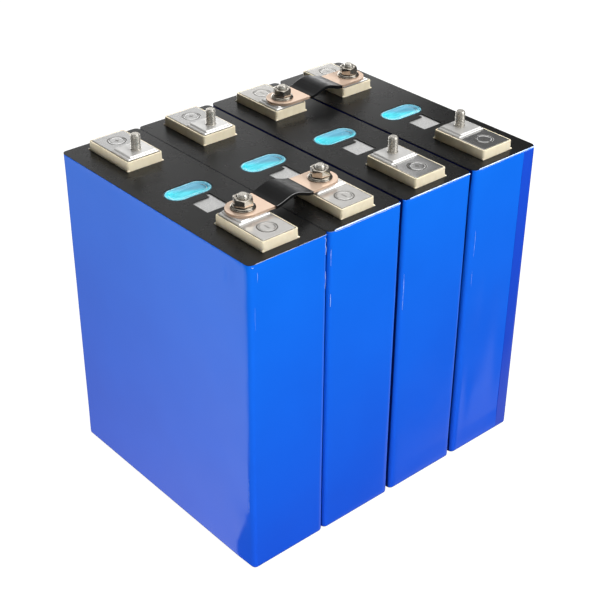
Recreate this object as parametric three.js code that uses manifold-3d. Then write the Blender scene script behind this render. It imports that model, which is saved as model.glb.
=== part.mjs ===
// Block of four prismatic lithium cells, joined in two pairs by flexible copper busbars.
// Units are millimetres, +Z is up. The origin is the centre of the block's underside.
// X runs along the row of cells, and -Y is the front, where the first busbar is.
import * as THREE from "three";
import { mergeVertices } from "three/addons/utils/BufferGeometryUtils.js";
import Module from "manifold-3d";

const wasm = await Module();
wasm.setup();

// ---------------------------------------------------------------- driving dimensions

const CELL = { thickness: 53.9, width: 173.9, height: 204.5, cornerRadius: 3.2 };
const CELL_GAPS = [0.4, 2.0, 2.0]; // free space between neighbouring cells
const JOINED_PAIRS = [
  { cells: [1, 2], end: "front" },
  { cells: [3, 4], end: "rear" },
];

const FIT_GAP = 0.3; // assembly clearance round a piece
const STACK_GAP = 0.1; // clearance between pieces that rest on each other
const JOIN_LAP = 0.5; // how far shapes that are joined into one solid run into each other
const CUT_MARGIN = 1; // how far a cutting shape stands out of what it cuts
const MERGE_DISTANCE = 1e-4; // points closer than this are one point

const JACKET_WALL = 0.4;
const CAN = { wall: 1.0, floor: 1.2 };
const LID_THICKNESS = 2.5;
const SHEET_THICKNESS = 0.3;
const SHEET_STANDOFF = 0.4; // air between the lid and the sheet

const VENT = { length: 30.2, width: 15.4, throatLength: 24, throatWidth: 10, membrane: 0.5 };
const LABEL_WINDOW = { width: 15, depth: 14, fromCentre: 20.8, tabWidth: 2.8, tabDepth: 3.6, tabX: 6.1 };

const TERMINAL_FROM_CENTRE = 60; // middle of each terminal, from the middle of the cell
const TRAY = { width: 24.6, length: 40, cornerRadius: 1.6, rise: 5.8, rim: 1.0, pocketRadius: 1.0 };
const PLATE = { thickness: 3.0, cornerRadius: 0.7 };
const POST = { radius: 2.8, outward: 8.7 }; // rivet post, outward of the terminal's middle
const NECK = { radius: 4.2, bore: 3.2, flangeRadius: 8, flangeThickness: 1.5 };
const COLLECTOR = { width: 20, length: 30, thickness: 1.5, tabWidth: 14, tabThickness: 1.2, tabDrop: 8 };
const CORE = { liner: 0.8, rollEdgeRadius: 9, lap: 0.2 }; // the rolls press 2 x lap into each other

const PAD = { width: 18.2, length: 17.8, thickness: 0.9, bevel: 0.3, inward: 9.8 };
const PAD_STEP = { width: 21.4, thickness: 0.8, lap: 0.1 }; // wider foot, which the pad laps into
const STUD = { radius: 2.9, tipChamfer: 0.6, tipAboveCell: 17.3, inward: 11 };

const BUSBAR = { width: 19.8, thickness: 1.5, holeRadius: 3.4, archHeight: 3.2, archHalfLength: 13.5 };
const ROUND_END_FLAT = 0.02; // straight part left in the middle of a busbar's round end
const SLEEVE = { wall: 0.6, halfLength: 13.2 };
const WASHER = { radius: 7, bore: 3.2, thickness: 1.6, chamferWidth: 0.8, chamferHeight: 0.5 };
const NUT = { acrossFlats: 10, height: 4.4, bore: 3.01, chamfer: 0.8, chamferOverhang: 0.1 };

const EDGE_STEPS = 2; // fineness of the case's round edges and of the vent's ends
const CORNER_STEPS = 1; // fineness of small round corners
const ROUND_STEPS = 16; // segments round a stud, a washer or a bolt hole
const RIVET_STEPS = 12; // segments round the rivet and its seal
const ARCH_STEPS = 14; // segments along a busbar's arch
const END_STEPS = 4; // fineness of a busbar's round ends

// Heights of the stacked layers, from the underside of the cell.
const TOP = CELL.height;
const SHEET_BASE = TOP - SHEET_THICKNESS;
const LID_TOP = SHEET_BASE - SHEET_STANDOFF;
const LID_BASE = LID_TOP - LID_THICKNESS;
const JACKET_TOP = SHEET_BASE - FIT_GAP;
const FLANGE_TOP = LID_BASE - FIT_GAP;
const FLANGE_BASE = FLANGE_TOP - NECK.flangeThickness;
const COLLECTOR_TOP = FLANGE_BASE - FIT_GAP;
const COLLECTOR_BASE = COLLECTOR_TOP - COLLECTOR.thickness;
const CORE_TOP = COLLECTOR_BASE - COLLECTOR.tabDrop - FIT_GAP;
const CAN_BASE = JACKET_WALL + FIT_GAP;
const CORE_BASE = CAN_BASE + CAN.floor + FIT_GAP;
const TRAY_BASE = LID_TOP + STACK_GAP;
const TRAY_TOP = TOP + TRAY.rise;
const PLATE_BASE = TRAY_TOP - PLATE.thickness;
const PAD_BASE = TRAY_TOP + STACK_GAP;
const STEP_TOP = PAD_BASE + PAD_STEP.thickness;
const PAD_TOP = STEP_TOP + PAD.thickness;
const BUSBAR_BASE = PAD_TOP + STACK_GAP;
const WASHER_BASE = BUSBAR_BASE + BUSBAR.thickness + STACK_GAP;
const NUT_BASE = WASHER_BASE + WASHER.thickness + STACK_GAP;

// ---------------------------------------------------------------- materials

const material = (color, roughness, metalness) =>
  new THREE.MeshStandardMaterial({ color, roughness, metalness });

const MATERIALS = {
  blueFilm: material(0x0f4fd6, 0.25, 0),
  caseAluminium: material(0xb9bdc2, 0.4, 1),
  blackSheet: material(0x2b2b2b, 0.55, 0),
  ventFilm: material(0x35bfe0, 0.2, 0),
  creamPlastic: material(0xd8cba6, 0.5, 0),
  terminalAluminium: material(0xc9cbcb, 0.35, 1),
  electrodeFoil: material(0x3a3d40, 0.6, 0.4),
  copper: material(0xe3a888, 0.3, 1),
  blackSleeve: material(0x1c1c1e, 0.45, 0),
  steel: material(0xa8a297, 0.3, 1),
};

// ---------------------------------------------------------------- shape helpers

// A rectangle with round corners, centred on (x, y).
function roundedRectangle(width, length, radius, x = 0, y = 0) {
  const halfWidth = width / 2 - radius;
  const halfLength = length / 2 - radius;
  const shape = new THREE.Shape();
  shape.absarc(x + halfWidth, y - halfLength, radius, -Math.PI / 2, 0);
  shape.absarc(x + halfWidth, y + halfLength, radius, 0, Math.PI / 2);
  shape.absarc(x - halfWidth, y + halfLength, radius, Math.PI / 2, Math.PI);
  shape.absarc(x - halfWidth, y - halfLength, radius, Math.PI, Math.PI * 1.5);
  shape.closePath();
  return shape;
}

// A rectangle with square corners, centred on (x, y).
function rectangle(width, length, x = 0, y = 0) {
  return new THREE.Shape([
    new THREE.Vector2(x - width / 2, y - length / 2),
    new THREE.Vector2(x + width / 2, y - length / 2),
    new THREE.Vector2(x + width / 2, y + length / 2),
    new THREE.Vector2(x - width / 2, y + length / 2),
  ]);
}

// A closed slab: the outline raised from base to top.
function slab(shape, base, top, curveSegments = CORNER_STEPS) {
  const geometry = new THREE.ExtrudeGeometry(shape, {
    depth: top - base,
    bevelEnabled: false,
    curveSegments,
  });
  return geometry.translate(0, 0, base);
}

// A round bar on the Z axis through (x, y).
function bar(radius, base, top, x = 0, y = 0, steps = ROUND_STEPS) {
  return new THREE.CylinderGeometry(radius, radius, top - base, steps)
    .rotateX(Math.PI / 2)
    .translate(x, y, (base + top) / 2);
}

// A solid of revolution about the Z axis through (x, y); the profile is [radius, height] pairs.
function turned(profile, x = 0, y = 0, steps = ROUND_STEPS) {
  const points = profile.map(([radius, height]) => new THREE.Vector2(radius, height));
  return new THREE.LatheGeometry(points, steps).rotateX(Math.PI / 2).translate(x, y, 0);
}

function toSolid(geometry) {
  const bare = geometry.clone();
  bare.deleteAttribute("normal");
  bare.deleteAttribute("uv");
  const merged = mergeVertices(bare, MERGE_DISTANCE);
  return new wasm.Manifold(
    new wasm.Mesh({
      numProp: 3,
      vertProperties: merged.attributes.position.array,
      triVerts: new Uint32Array(merged.index.array),
    }),
  );
}

function toGeometry(solid) {
  const mesh = solid.getMesh();
  const geometry = new THREE.BufferGeometry();
  geometry.setAttribute("position", new THREE.BufferAttribute(mesh.vertProperties, 3));
  geometry.setIndex(new THREE.BufferAttribute(mesh.triVerts, 1));
  geometry.computeVertexNormals();
  return geometry;
}

// The first geometry, less the others.
function cut(geometry, ...tools) {
  return toGeometry(tools.reduce((solid, tool) => solid.subtract(toSolid(tool)), toSolid(geometry)));
}

// All the geometries, as one.
function join(geometry, ...others) {
  return toGeometry(others.reduce((solid, other) => solid.add(toSolid(other)), toSolid(geometry)));
}

function addPiece(group, name, geometry, surface) {
  const mesh = new THREE.Mesh(geometry, surface);
  mesh.name = name;
  group.add(mesh);
}

// ---------------------------------------------------------------- the case

// Shrunk film round the sides and underside of the cell.
function jacketGeometry() {
  const { thickness, width, cornerRadius } = CELL;
  const outside = roundedRectangle(thickness, width, cornerRadius);
  const inside = roundedRectangle(
    thickness - 2 * JACKET_WALL,
    width - 2 * JACKET_WALL,
    cornerRadius - JACKET_WALL,
  );
  return cut(slab(outside, 0, JACKET_TOP, EDGE_STEPS), slab(inside, JACKET_WALL, TOP, EDGE_STEPS));
}

const CAN_INSET = JACKET_WALL + FIT_GAP;
const CAN_THICKNESS = CELL.thickness - 2 * CAN_INSET;
const CAN_WIDTH = CELL.width - 2 * CAN_INSET;
const CAN_RADIUS = CELL.cornerRadius - CAN_INSET;
const BORE_THICKNESS = CAN_THICKNESS - 2 * CAN.wall;
const BORE_WIDTH = CAN_WIDTH - 2 * CAN.wall;
const BORE_RADIUS = CAN_RADIUS - CAN.wall;

// Deep-drawn can, open at the top.
function canGeometry() {
  const outside = roundedRectangle(CAN_THICKNESS, CAN_WIDTH, CAN_RADIUS);
  const inside = roundedRectangle(BORE_THICKNESS, BORE_WIDTH, BORE_RADIUS);
  return cut(slab(outside, CAN_BASE, LID_TOP), slab(inside, CAN_BASE + CAN.floor, TOP));
}

// Lid inside the mouth of the can, with the terminals' holes and the burst vent's thin membrane.
function lidGeometry() {
  const outline = roundedRectangle(
    BORE_THICKNESS - 2 * FIT_GAP,
    BORE_WIDTH - 2 * FIT_GAP,
    BORE_RADIUS - FIT_GAP,
  );
  const throat = roundedRectangle(VENT.throatLength, VENT.throatWidth, VENT.throatWidth / 2);
  const rivetFromCentre = TERMINAL_FROM_CENTRE + POST.outward;
  const holes = [-1, 1].map((side) =>
    bar(NECK.radius + 2 * FIT_GAP, LID_BASE - CUT_MARGIN, TOP, 0, side * rivetFromCentre, RIVET_STEPS),
  );
  const recess = slab(throat, LID_BASE + VENT.membrane, TOP, EDGE_STEPS);
  return cut(slab(outline, LID_BASE, LID_TOP), recess, ...holes);
}

// Insulating sheet over the lid, with openings for the terminals, the vent and the label.
function topSheetGeometry() {
  const outline = roundedRectangle(CELL.thickness, CELL.width, CELL.cornerRadius);
  const below = SHEET_BASE - CUT_MARGIN;
  const above = TOP + CUT_MARGIN;
  const terminalOpenings = [-1, 1].map((side) =>
    rectangle(TRAY.width + 2 * FIT_GAP, TRAY.length + 2 * FIT_GAP, 0, side * TERMINAL_FROM_CENTRE),
  );
  const ventOpening = roundedRectangle(VENT.length, VENT.width, VENT.width / 2);
  const { width, depth, fromCentre, tabWidth, tabDepth, tabX } = LABEL_WINDOW;
  const labelOpening = rectangle(width, depth, 0, -fromCentre);
  const labelTab = rectangle(tabWidth, tabDepth * 2, tabX, -fromCentre + depth / 2);
  const openings = [...terminalOpenings, ventOpening, labelOpening, labelTab];
  return cut(
    slab(outline, SHEET_BASE, TOP, EDGE_STEPS),
    ...openings.map((shape) => slab(shape, below, above, EDGE_STEPS)),
  );
}

// Clear film that keeps dust out of the vent.
function ventFilmGeometry() {
  const outline = roundedRectangle(
    VENT.length - 2 * FIT_GAP,
    VENT.width - 2 * FIT_GAP,
    VENT.width / 2 - FIT_GAP,
  );
  return slab(outline, SHEET_BASE - STACK_GAP, TOP - STACK_GAP, EDGE_STEPS);
}

// Two wound electrode rolls, side by side, taped into one stack.
function electrodeCoreGeometry() {
  const { liner, rollEdgeRadius, lap } = CORE;
  const stackThickness = BORE_THICKNESS - 2 * liner;
  const stackWidth = BORE_WIDTH - 2 * liner;
  const rollThickness = stackThickness / 2 + lap;
  const rolls = [-1, 1].map((side) => {
    const centre = (side * (stackThickness - rollThickness)) / 2;
    const outline = roundedRectangle(rollThickness, stackWidth, rollEdgeRadius, centre);
    return slab(outline, CORE_BASE, CORE_TOP, EDGE_STEPS);
  });
  return join(...rolls);
}

// ---------------------------------------------------------------- a terminal
// Each terminal is modelled at the front of a cell, with its middle on the Z axis and the
// cell's middle towards +Y.

// Insulating tray on the lid, with a neck through the lid and a flange below it.
function insulatorGeometry() {
  const { width, length, cornerRadius, rim, pocketRadius } = TRAY;
  const body = slab(roundedRectangle(width, length, cornerRadius), TRAY_BASE, TRAY_TOP);
  const pocket = slab(
    roundedRectangle(width - 2 * rim, length - 2 * rim, pocketRadius),
    PLATE_BASE - STACK_GAP,
    TRAY_TOP + CUT_MARGIN,
  );
  const y = -POST.outward;
  const neck = bar(NECK.radius, FLANGE_BASE, TRAY_BASE + JOIN_LAP, 0, y, RIVET_STEPS);
  const flange = bar(NECK.flangeRadius, FLANGE_BASE, FLANGE_TOP, 0, y, RIVET_STEPS);
  const bore = bar(NECK.bore, FLANGE_BASE - CUT_MARGIN, TRAY_TOP, 0, y, RIVET_STEPS);
  return cut(join(body, neck, flange), pocket, bore);
}

// Terminal plate, riveted through the lid to the current collector, whose tab meets the core.
function terminalGeometry() {
  const margin = 2 * (TRAY.rim + FIT_GAP);
  const outline = roundedRectangle(TRAY.width - margin, TRAY.length - margin, PLATE.cornerRadius);
  const plate = slab(outline, PLATE_BASE, TRAY_TOP);
  const y = -POST.outward;
  const post = bar(POST.radius, COLLECTOR_BASE + JOIN_LAP, PLATE_BASE + JOIN_LAP, 0, y, RIVET_STEPS);
  const collector = slab(
    roundedRectangle(COLLECTOR.width, COLLECTOR.length, 1),
    COLLECTOR_BASE,
    COLLECTOR_TOP,
  );
  const tabY = (COLLECTOR.length - COLLECTOR.tabThickness) / 2;
  const tab = slab(
    rectangle(COLLECTOR.tabWidth, COLLECTOR.tabThickness, 0, tabY),
    COLLECTOR_BASE - COLLECTOR.tabDrop,
    COLLECTOR_BASE + JOIN_LAP,
  );
  return join(plate, post, collector, tab);
}

// Bevelled pad on a wider foot, welded on the plate, with a threaded stud near its middle.
function studPadGeometry() {
  const { width, length, thickness, bevel, inward } = PAD;
  const foot = slab(rectangle(PAD_STEP.width, length, 0, inward), PAD_BASE, STEP_TOP);
  const outline = rectangle(width - 2 * bevel, length - 2 * bevel, 0, inward);
  const pad = new THREE.ExtrudeGeometry(outline, {
    depth: thickness,
    bevelThickness: bevel,
    bevelSize: bevel,
    bevelSegments: 1,
  }).translate(0, 0, STEP_TOP - bevel);
  const lowerBevel = slab(
    rectangle(width + CUT_MARGIN, length + CUT_MARGIN, 0, inward),
    PAD_BASE - CUT_MARGIN,
    STEP_TOP - PAD_STEP.lap,
  );
  const tip = TOP + STUD.tipAboveCell;
  const { radius, tipChamfer } = STUD;
  const profile = [
    [0, PAD_BASE + JOIN_LAP],
    [radius, PAD_BASE + JOIN_LAP],
    [radius, tip - tipChamfer],
    [radius - tipChamfer, tip],
    [0, tip],
  ];
  return join(foot, cut(pad, lowerBevel), turned(profile, 0, STUD.inward));
}

// ---------------------------------------------------------------- busbars and fasteners

// Rise of a busbar's arch, x from the middle of the bar.
function archRise(x) {
  const { archHeight, archHalfLength } = BUSBAR;
  if (Math.abs(x) >= archHalfLength) return 0;
  return (archHeight / 2) * (1 + Math.cos((Math.PI * x) / archHalfLength));
}

// A strip that follows the arch, between two heights above the bar's underside.
function archedStrip(halfLength, width, low, high) {
  const stations = [-halfLength];
  for (let i = 0; i <= ARCH_STEPS; i++) {
    const x = BUSBAR.archHalfLength * ((2 * i) / ARCH_STEPS - 1);
    if (Math.abs(x) < halfLength - MERGE_DISTANCE) stations.push(x);
  }
  stations.push(halfLength);
  const lower = stations.map((x) => new THREE.Vector2(x, archRise(x) + low));
  const upper = stations.map((x) => new THREE.Vector2(x, archRise(x) + high)).reverse();
  return new THREE.ExtrudeGeometry(new THREE.Shape([...lower, ...upper]), {
    depth: width,
    bevelEnabled: false,
  })
    .translate(0, 0, -width / 2)
    .rotateX(Math.PI / 2);
}

// Laminated copper strip with round ends and a bolt hole at each stud.
function busbarGeometry(studSpacing) {
  const endRadius = BUSBAR.width / 2;
  const halfLength = studSpacing / 2 + endRadius;
  const strip = toSolid(archedStrip(halfLength, BUSBAR.width, 0, BUSBAR.thickness));
  const outline = roundedRectangle(2 * halfLength, BUSBAR.width, endRadius - ROUND_END_FLAT / 2);
  const below = -CUT_MARGIN;
  const above = BUSBAR.archHeight + BUSBAR.thickness + CUT_MARGIN;
  const plan = toSolid(slab(outline, below, above, END_STEPS));
  const holes = [-1, 1].map((side) =>
    bar(BUSBAR.holeRadius, below, above, (side * studSpacing) / 2),
  );
  return cut(toGeometry(strip.intersect(plan)), ...holes);
}

// Insulating sleeve shrunk over the busbar's arch.
function sleeveGeometry() {
  const { halfLength, wall } = SLEEVE;
  const { width, thickness } = BUSBAR;
  const outside = archedStrip(
    halfLength,
    width + 2 * (wall + FIT_GAP),
    -wall - FIT_GAP,
    thickness + wall + FIT_GAP,
  );
  const inside = archedStrip(
    halfLength + CUT_MARGIN,
    width + 2 * FIT_GAP,
    -FIT_GAP,
    thickness + FIT_GAP,
  );
  return cut(outside, inside);
}

function washerGeometry() {
  const { radius, bore, thickness, chamferWidth, chamferHeight } = WASHER;
  return turned([
    [bore, 0],
    [radius, 0],
    [radius, thickness - chamferHeight],
    [radius - chamferWidth, thickness],
    [bore, thickness],
    [bore, 0],
  ]);
}

// Hexagon nut with chamfered corners.
function nutGeometry() {
  const { acrossFlats, height, bore, chamfer, chamferOverhang } = NUT;
  const cornerRadius = acrossFlats / Math.sqrt(3);
  const prism = bar(cornerRadius, 0, height, 0, 0, 6);
  const chamferDrop = chamfer * Math.tan(Math.PI / 6);
  const envelope = turned([
    [0, 0],
    [cornerRadius + chamferOverhang, 0],
    [cornerRadius + chamferOverhang, height - chamferDrop],
    [cornerRadius - chamfer, height],
    [0, height],
  ]);
  const shaped = toGeometry(toSolid(prism).intersect(toSolid(envelope)));
  return cut(shaped, bar(bore, -CUT_MARGIN, height + CUT_MARGIN));
}

// ---------------------------------------------------------------- assembly

const CELL_COUNT = CELL_GAPS.length + 1;
const BLOCK_LENGTH = CELL_COUNT * CELL.thickness + CELL_GAPS.reduce((sum, gap) => sum + gap, 0);

// Middle of a cell along the row; cells count from 1.
function cellX(number) {
  const gapsBefore = CELL_GAPS.slice(0, number - 1).reduce((sum, gap) => sum + gap, 0);
  return -BLOCK_LENGTH / 2 + (number - 0.5) * CELL.thickness + gapsBefore;
}

const SIDE = { front: -1, rear: 1 };

function addTerminal(cell, number, end) {
  const terminal = new THREE.Group();
  terminal.position.y = SIDE[end] * TERMINAL_FROM_CENTRE;
  terminal.rotation.z = end === "rear" ? Math.PI : 0;
  const name = (piece) => `cell_${number}_${end}_${piece}`;
  addPiece(terminal, name("insulator"), insulatorGeometry(), MATERIALS.creamPlastic);
  addPiece(terminal, name("terminal"), terminalGeometry(), MATERIALS.terminalAluminium);
  addPiece(terminal, name("stud_pad"), studPadGeometry(), MATERIALS.steel);
  cell.add(terminal);
}

function buildCell(number) {
  const cell = new THREE.Group();
  cell.position.x = cellX(number);
  const name = (piece) => `cell_${number}_${piece}`;
  addPiece(cell, name("jacket"), jacketGeometry(), MATERIALS.blueFilm);
  addPiece(cell, name("can"), canGeometry(), MATERIALS.caseAluminium);
  addPiece(cell, name("lid"), lidGeometry(), MATERIALS.caseAluminium);
  addPiece(cell, name("top_sheet"), topSheetGeometry(), MATERIALS.blackSheet);
  addPiece(cell, name("vent_film"), ventFilmGeometry(), MATERIALS.ventFilm);
  addPiece(cell, name("electrode_core"), electrodeCoreGeometry(), MATERIALS.electrodeFoil);
  addTerminal(cell, number, "front");
  addTerminal(cell, number, "rear");
  return cell;
}

// A busbar across two neighbouring cells, with its sleeve, washers and nuts.
function buildLink({ cells, end }) {
  const [left, right] = cells.map(cellX);
  const y = SIDE[end] * (TERMINAL_FROM_CENTRE - STUD.inward);
  const link = new THREE.Group();
  link.position.set((left + right) / 2, y, BUSBAR_BASE);
  addPiece(link, `${end}_busbar`, busbarGeometry(right - left), MATERIALS.copper);
  addPiece(link, `${end}_busbar_sleeve`, sleeveGeometry(), MATERIALS.blackSleeve);
  cells.forEach((number) => {
    const fastener = new THREE.Group();
    fastener.position.x = cellX(number) - link.position.x;
    const washer = washerGeometry().translate(0, 0, WASHER_BASE - BUSBAR_BASE);
    const nut = nutGeometry().translate(0, 0, NUT_BASE - BUSBAR_BASE);
    addPiece(fastener, `cell_${number}_${end}_washer`, washer, MATERIALS.steel);
    addPiece(fastener, `cell_${number}_${end}_nut`, nut, MATERIALS.steel);
    link.add(fastener);
  });
  return link;
}

const block = new THREE.Group();
for (let number = 1; number <= CELL_COUNT; number++) block.add(buildCell(number));
JOINED_PAIRS.forEach((pair) => block.add(buildLink(pair)));

export default block;
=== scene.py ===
import math

import bmesh
import bpy
import numpy as np
from mathutils import Matrix, Vector


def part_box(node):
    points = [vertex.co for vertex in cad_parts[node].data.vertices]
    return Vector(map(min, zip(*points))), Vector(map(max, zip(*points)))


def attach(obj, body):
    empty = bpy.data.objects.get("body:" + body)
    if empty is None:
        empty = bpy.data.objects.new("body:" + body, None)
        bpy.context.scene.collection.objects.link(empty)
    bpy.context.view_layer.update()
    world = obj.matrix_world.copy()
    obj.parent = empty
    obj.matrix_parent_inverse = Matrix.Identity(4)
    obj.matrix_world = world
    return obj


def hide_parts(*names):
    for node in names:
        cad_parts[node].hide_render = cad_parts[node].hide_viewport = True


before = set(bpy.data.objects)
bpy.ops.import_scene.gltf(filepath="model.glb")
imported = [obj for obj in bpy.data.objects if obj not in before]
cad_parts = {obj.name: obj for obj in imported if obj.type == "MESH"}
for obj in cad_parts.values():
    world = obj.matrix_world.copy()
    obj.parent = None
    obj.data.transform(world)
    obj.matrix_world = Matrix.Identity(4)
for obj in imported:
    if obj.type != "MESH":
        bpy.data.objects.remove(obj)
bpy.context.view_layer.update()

MM = 0.001

# ---- camera

CAMERA_AZIMUTH = math.radians(-41.22)
CAMERA_ELEVATION = math.radians(31.9)
CAMERA_ROLL = math.radians(0.42)
CAMERA_DISTANCE = 0.8195
CAMERA_TARGET = Vector((-0.0025, -0.0031, 0.102))
CAMERA_LENS = 78.25


def make_camera():
    a, e, r = CAMERA_AZIMUTH, CAMERA_ELEVATION, CAMERA_ROLL
    back = Vector((math.sin(a) * math.cos(e), -math.cos(a) * math.cos(e), math.sin(e)))
    right = Vector((math.cos(a), math.sin(a), 0))
    up = back.cross(right)
    rolled_right = right * math.cos(r) + up * math.sin(r)
    rolled_up = up * math.cos(r) - right * math.sin(r)
    data = bpy.data.cameras.new("camera")
    data.lens = CAMERA_LENS
    data.sensor_width = 36
    data.clip_start = 0.05
    data.clip_end = 50
    camera = bpy.data.objects.new("camera", data)
    axes = Matrix((rolled_right, rolled_up, back)).transposed().to_4x4()
    camera.matrix_world = Matrix.Translation(CAMERA_TARGET + back * CAMERA_DISTANCE) @ axes
    bpy.context.scene.collection.objects.link(camera)
    bpy.context.scene.camera = camera


make_camera()

# ---- sizes


def box_mm(node):
    """The low and high corners of a CAD node."""
    low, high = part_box(node)
    return np.array(low) / MM, np.array(high) / MM


def plan_mm(node):
    """The middle of a CAD node seen from above, and its width and length."""
    low, high = box_mm(node)
    return (low + high)[:2] / 2, *(high - low)[:2]


CELLS = (1, 2, 3, 4)
ENDS = {"front": 1, "rear": -1}  # sign of the half turn that takes the front's shapes to that end
LINKS = {"front": (1, 2), "rear": (3, 4)}

STUD_INWARD = 11.0  # stud's axis, inward of its plate's middle
WELD_OUTWARD = 8.7  # rivet weld, outward of the plate's middle
STUD_RADIUS = 2.95
THREAD_DEPTH = 0.5
THREAD_PITCH = 1.0

sheet_low, sheet_high = box_mm("cell_1_top_sheet")
SHEET_BASE, SHEET_TOP = sheet_low[2], sheet_high[2]
LID_TOP = box_mm("cell_1_lid")[1][2]
CORNER_RADIUS = 3.2

tray_low, tray_high = box_mm("cell_1_front_insulator")
TRAY_CENTRE, TRAY_WIDTH, TRAY_LENGTH = plan_mm("cell_1_front_insulator")
TRAY_BASE, TRAY_TOP = LID_TOP + 0.1, tray_high[2]
FLANGE_BASE = tray_low[2]
FLANGE_TOP = FLANGE_BASE + 1.5

plate_low, plate_high = box_mm("cell_1_front_terminal")
PLATE_THICKNESS = 3.0
PLATE_BASE, PLATE_TOP = plate_high[2] - PLATE_THICKNESS, plate_high[2]
COLLECTOR_BASE = plate_low[2]

pad_low, pad_high = box_mm("cell_1_front_stud_pad")
PAD_CENTRE, FOOT_WIDTH, FOOT_LENGTH = plan_mm("cell_1_front_stud_pad")
PAD_BASE, STUD_TIP = pad_low[2], pad_high[2]
PAD_WIDTH = 18.2
PAD_INWARD = (PAD_CENTRE - TRAY_CENTRE)[1]
FOOT_TOP = PAD_BASE + 0.8
PAD_TOP = FOOT_TOP + 0.9

BUSBAR_BASE = box_mm("front_busbar")[0][2]
BUSBAR_THICKNESS = 1.5
ARCH_HEIGHT = 3.2
ARCH_HALF_LENGTH = 13.5
SLEEVE_HALF_LENGTH = 13.2

# ---- outlines and skins


def facing(degrees):
    """The flat direction at an angle from +X."""
    return np.array([math.cos(math.radians(degrees)), math.sin(math.radians(degrees))])


def matching_counts(width, length, radius, spacing):
    """How many pieces each long side and each wide side of an outline is cut into."""
    return [max(1, round((side - 2 * radius) / spacing)) for side in (length, width)]


def outline(width, length, radius, counts=(1, 1), corner_steps=6, centre=(0, 0)):
    """Points round a rectangle with round corners, anticlockwise.

    Each long side is cut into the first count of pieces and each wide side into the second, so that
    rings of different sizes match."""
    half = np.array([width / 2 - radius, length / 2 - radius])
    signs = ((1, -1), (1, 1), (-1, 1), (-1, -1))
    points = []
    for corner, sign in enumerate(signs):
        for step in range(corner_steps + 1):
            edge = radius * facing(90 * (corner - 1 + step / corner_steps))
            points.append(half * sign + edge)
        target = half * signs[(corner + 1) % 4] + edge
        last = points[-1]
        count = counts[corner % 2]
        for step in range(1, count):
            points.append(last + (target - last) * step / count)
    return np.array(points) + np.array(centre)


def circle(radius, count, centre=(0, 0)):
    """Points evenly round a circle, anticlockwise from +X."""
    angles = np.arange(count) * 2 * math.pi / count
    return radius * np.stack([np.cos(angles), np.sin(angles)], 1) + np.array(centre)


def facing_circle(ring, radius, centre):
    """The points of a circle that lie towards each point of a ring round it."""
    away = ring - np.array(centre)
    return np.array(centre) + radius * away / np.linalg.norm(away, axis=1)[:, None]


def at(ring, height):
    """A flat outline raised to a height."""
    return np.column_stack([ring, np.full(len(ring), height, float)])


class Skins:
    """Closed skins gathered into one piece."""

    def __init__(self):
        self.points = []
        self.faces = []

    def loft(self, rings, endless=False):
        """A skin through rings of equally many points, with its ends capped or joined to each other."""
        first = len(self.points)
        count = len(rings[0])
        for ring in rings:
            self.points.extend(np.asarray(ring, float))
        starts = [first + number * count for number in range(len(rings))]
        followers = starts[1:] + starts[:1] if endless else starts[1:]
        for a, b in zip(starts, followers):
            for i in range(count):
                j = (i + 1) % count
                self.faces.append((a + i, a + j, b + j, b + i))
        if not endless:
            self.faces.append(tuple(first + i for i in reversed(range(count))))
            self.faces.append(tuple(starts[-1] + i for i in range(count)))
        return self

    def add_mesh(self, points, faces):
        first = len(self.points)
        self.points.extend(points)
        self.faces.extend(tuple(first + i for i in face) for face in faces)
        return self

    def piece(self, name, body, surface, slot, nodes=(), centre=(0, 0), turn=1, sharp=32):
        """Makes the piece; turn -1 is a half turn about the Z axis before it moves to its centre."""
        points = np.array(self.points) * [turn, turn, 1] + [centre[0], centre[1], 0]
        mesh = bpy.data.meshes.new(name)
        mesh.from_pydata((points * MM).tolist(), [], self.faces)
        shape = bmesh.new()
        shape.from_mesh(mesh)
        bmesh.ops.remove_doubles(shape, verts=shape.verts, dist=1e-7)
        bmesh.ops.recalc_face_normals(shape, faces=shape.faces)
        for face in shape.faces:
            face.smooth = True
        shape.to_mesh(mesh)
        shape.free()
        mesh.set_sharp_from_angle(angle=math.radians(sharp))
        mesh.materials.append(surface)
        made = bpy.data.objects.new(name, mesh)
        bpy.context.scene.collection.objects.link(made)
        normals = made.modifiers.new("normals", "WEIGHTED_NORMAL")
        normals.keep_sharp = True
        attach(made, body)
        if nodes:
            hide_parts(*nodes)
        return made


def sheet_mesh(outlines, base, top, bevel):
    """Points and faces of a flat sheet with openings: the first outline less the others."""
    curve = bpy.data.curves.new("sheet", "CURVE")
    curve.dimensions = "2D"
    curve.fill_mode = "BOTH"
    curve.extrude = ((top - base) / 2 - bevel) * MM
    curve.bevel_depth = bevel * MM
    curve.bevel_resolution = 1
    curve.offset = -bevel * MM
    for ring in outlines:
        spline = curve.splines.new("POLY")
        spline.points.add(len(ring) - 1)
        for point, (x, y) in zip(spline.points, ring):
            point.co = (x * MM, y * MM, 0, 1)
        spline.use_cyclic_u = True
    holder = bpy.data.objects.new("sheet", curve)
    bpy.context.scene.collection.objects.link(holder)
    bpy.context.view_layer.update()
    depsgraph = bpy.context.evaluated_depsgraph_get()
    mesh = bpy.data.meshes.new_from_object(holder.evaluated_get(depsgraph))
    points = np.array([v.co for v in mesh.vertices]) / MM + [0, 0, (base + top) / 2]
    faces = [tuple(polygon.vertices) for polygon in mesh.polygons]
    bpy.data.objects.remove(holder)
    bpy.data.curves.remove(curve)
    bpy.data.meshes.remove(mesh)
    return points, faces


# ---- materials


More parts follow.
